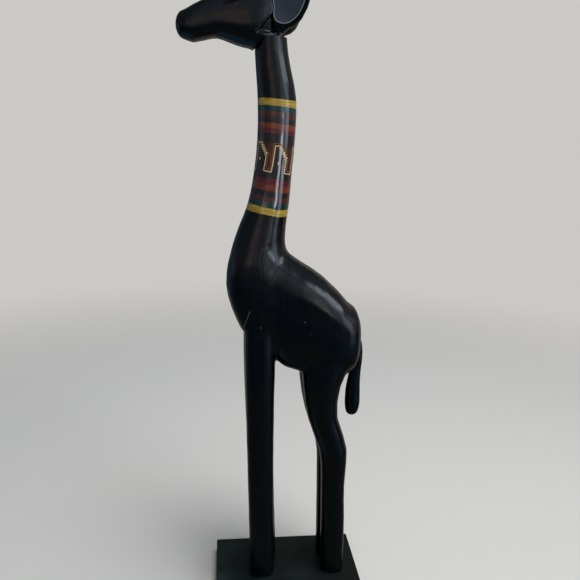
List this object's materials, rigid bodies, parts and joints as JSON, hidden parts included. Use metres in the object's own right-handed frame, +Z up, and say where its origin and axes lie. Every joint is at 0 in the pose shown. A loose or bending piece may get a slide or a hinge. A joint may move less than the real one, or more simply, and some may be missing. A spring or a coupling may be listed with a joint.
{
  "type": "carved giraffe statue",
  "caption": "Tall standing giraffe carved in dark lacquered wood, with a painted band round its long neck, round ears, short horns and a hanging tail, on a flat rectangular plinth.",
  "frame": {"origin": "centre of the plinth's underside", "axes": "+Z up; the giraffe looks along -X, so its tail is towards +X and its left side towards -Y"},
  "size_m": [0.2941, 0.132, 0.9848],
  "materials": {
    "black_lacquer": "near-black stained hardwood under satin lacquer, with a painted and varnished band round the neck",
    "plinth_paint": "flat board in satin black paint",
    "dowel_wood": "bare turned hardwood",
    "screw_steel": "zinc-plated"
  },
  "bodies": {
    "root": {"plinth": "plinth_paint", "front_block": "black_lacquer", "rear_block": "black_lacquer", "head_block": "black_lacquer", "left_ear": "black_lacquer", "right_ear": "black_lacquer", "left_horn": "black_lacquer", "right_horn": "black_lacquer", "tail": "black_lacquer", "neck_dowel": "dowel_wood", "seam_dowel_upper": "dowel_wood", "seam_dowel_lower": "dowel_wood", "left_ear_dowel": "dowel_wood", "right_ear_dowel": "dowel_wood", "left_horn_dowel": "dowel_wood", "right_horn_dowel": "dowel_wood", "tail_dowel": "dowel_wood", "foot_screw_front_left": "screw_steel", "foot_screw_front_right": "screw_steel", "foot_screw_hind_left": "screw_steel", "foot_screw_hind_right": "screw_steel"}
  },
  "joints": []
}
